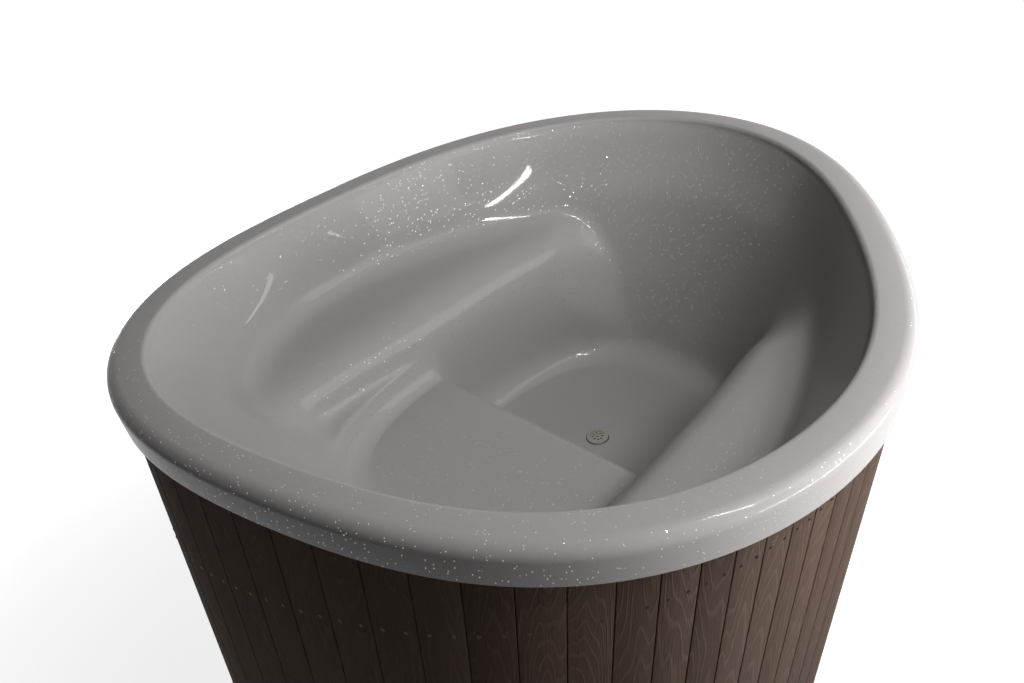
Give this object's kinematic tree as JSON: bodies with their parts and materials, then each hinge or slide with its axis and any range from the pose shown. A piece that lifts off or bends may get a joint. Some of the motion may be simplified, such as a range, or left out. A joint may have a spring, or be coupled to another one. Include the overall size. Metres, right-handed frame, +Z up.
{
  "type": "cold plunge tub",
  "caption": "Rounded three-sided cold plunge tub with a glossy flaked liner, moulded seat, armrests and footwell, clad in upright tapered timber boards.",
  "frame": {"origin": "middle of the tub's outline, on the ground", "axes": "+Z up; +X from the seat end towards the foot end, where the drain is; +Y across the tub"},
  "size_m": [1.7417, 1.4974, 0.95],
  "materials": {
    "gelcoat": "glossy gelcoat with fine metallic flakes",
    "boards": "brushed and stained, straight boards with raised grain",
    "frame_timber": "planed softwood",
    "plywood": "sealed plywood",
    "pad_rubber": "moulded rubber",
    "gasket_rubber": "moulded rubber",
    "drain_metal": "satin stainless steel",
    "pipe_plastic": "grey-white waste pipe",
    "valve_brass": "turned brass",
    "valve_steel": "satin stainless steel"
  },
  "bodies": {
    "tub": {"liner": "gelcoat", "cladding_1": "boards", "cladding_2": "boards", "cladding_3": "boards", "cladding_4": "boards", "cladding_5": "boards", "cladding_6": "boards", "cladding_7": "boards", "cladding_8": "boards", "cladding_9": "boards", "cladding_10": "boards", "cladding_11": "boards", "cladding_12": "boards", "cladding_13": "boards", "cladding_14": "boards", "cladding_15": "boards", "cladding_16": "boards", "cladding_17": "boards", "cladding_18": "boards", "rim_rail": "frame_timber", "upper_rail": "frame_timber", "lower_rail": "frame_timber", "post_1": "frame_timber", "post_2": "frame_timber", "post_3": "frame_timber", "post_4": "frame_timber", "post_5": "frame_timber", "post_6": "frame_timber", "post_7": "frame_timber", "post_8": "frame_timber", "post_9": "frame_timber", "post_10": "frame_timber", "base_panel": "plywood", "joist_1": "frame_timber", "joist_2": "frame_timber", "joist_3": "frame_timber", "pad_1": "pad_rubber", "pad_2": "pad_rubber", "pad_3": "pad_rubber", "pad_4": "pad_rubber", "pad_5": "pad_rubber", "pad_6": "pad_rubber", "bulkhead_1": "plywood", "bulkhead_2": "plywood", "bulkhead_3": "plywood", "bulkhead_4": "plywood", "drain_flange": "drain_metal", "strainer": "drain_metal", "drain_gasket": "gasket_rubber", "lock_nut": "pipe_plastic", "drop_pipe": "pipe_plastic", "elbow": "pipe_plastic", "waste_pipe": "pipe_plastic", "valve_body": "valve_brass", "gland_nut": "valve_brass", "hose_tail": "valve_brass"},
    "valve_lever": {"ball_stem": "valve_steel", "lever": "valve_steel", "lever_nut": "valve_steel"}
  },
  "joints": [
    {"name": "drain_valve", "type": "hinge", "parent": "tub", "child": "valve_lever", "pos_m": [0.77201, -0.00153, 0.112], "axis": [0, 0, -1], "range_deg": [0, 90]}
  ]
}
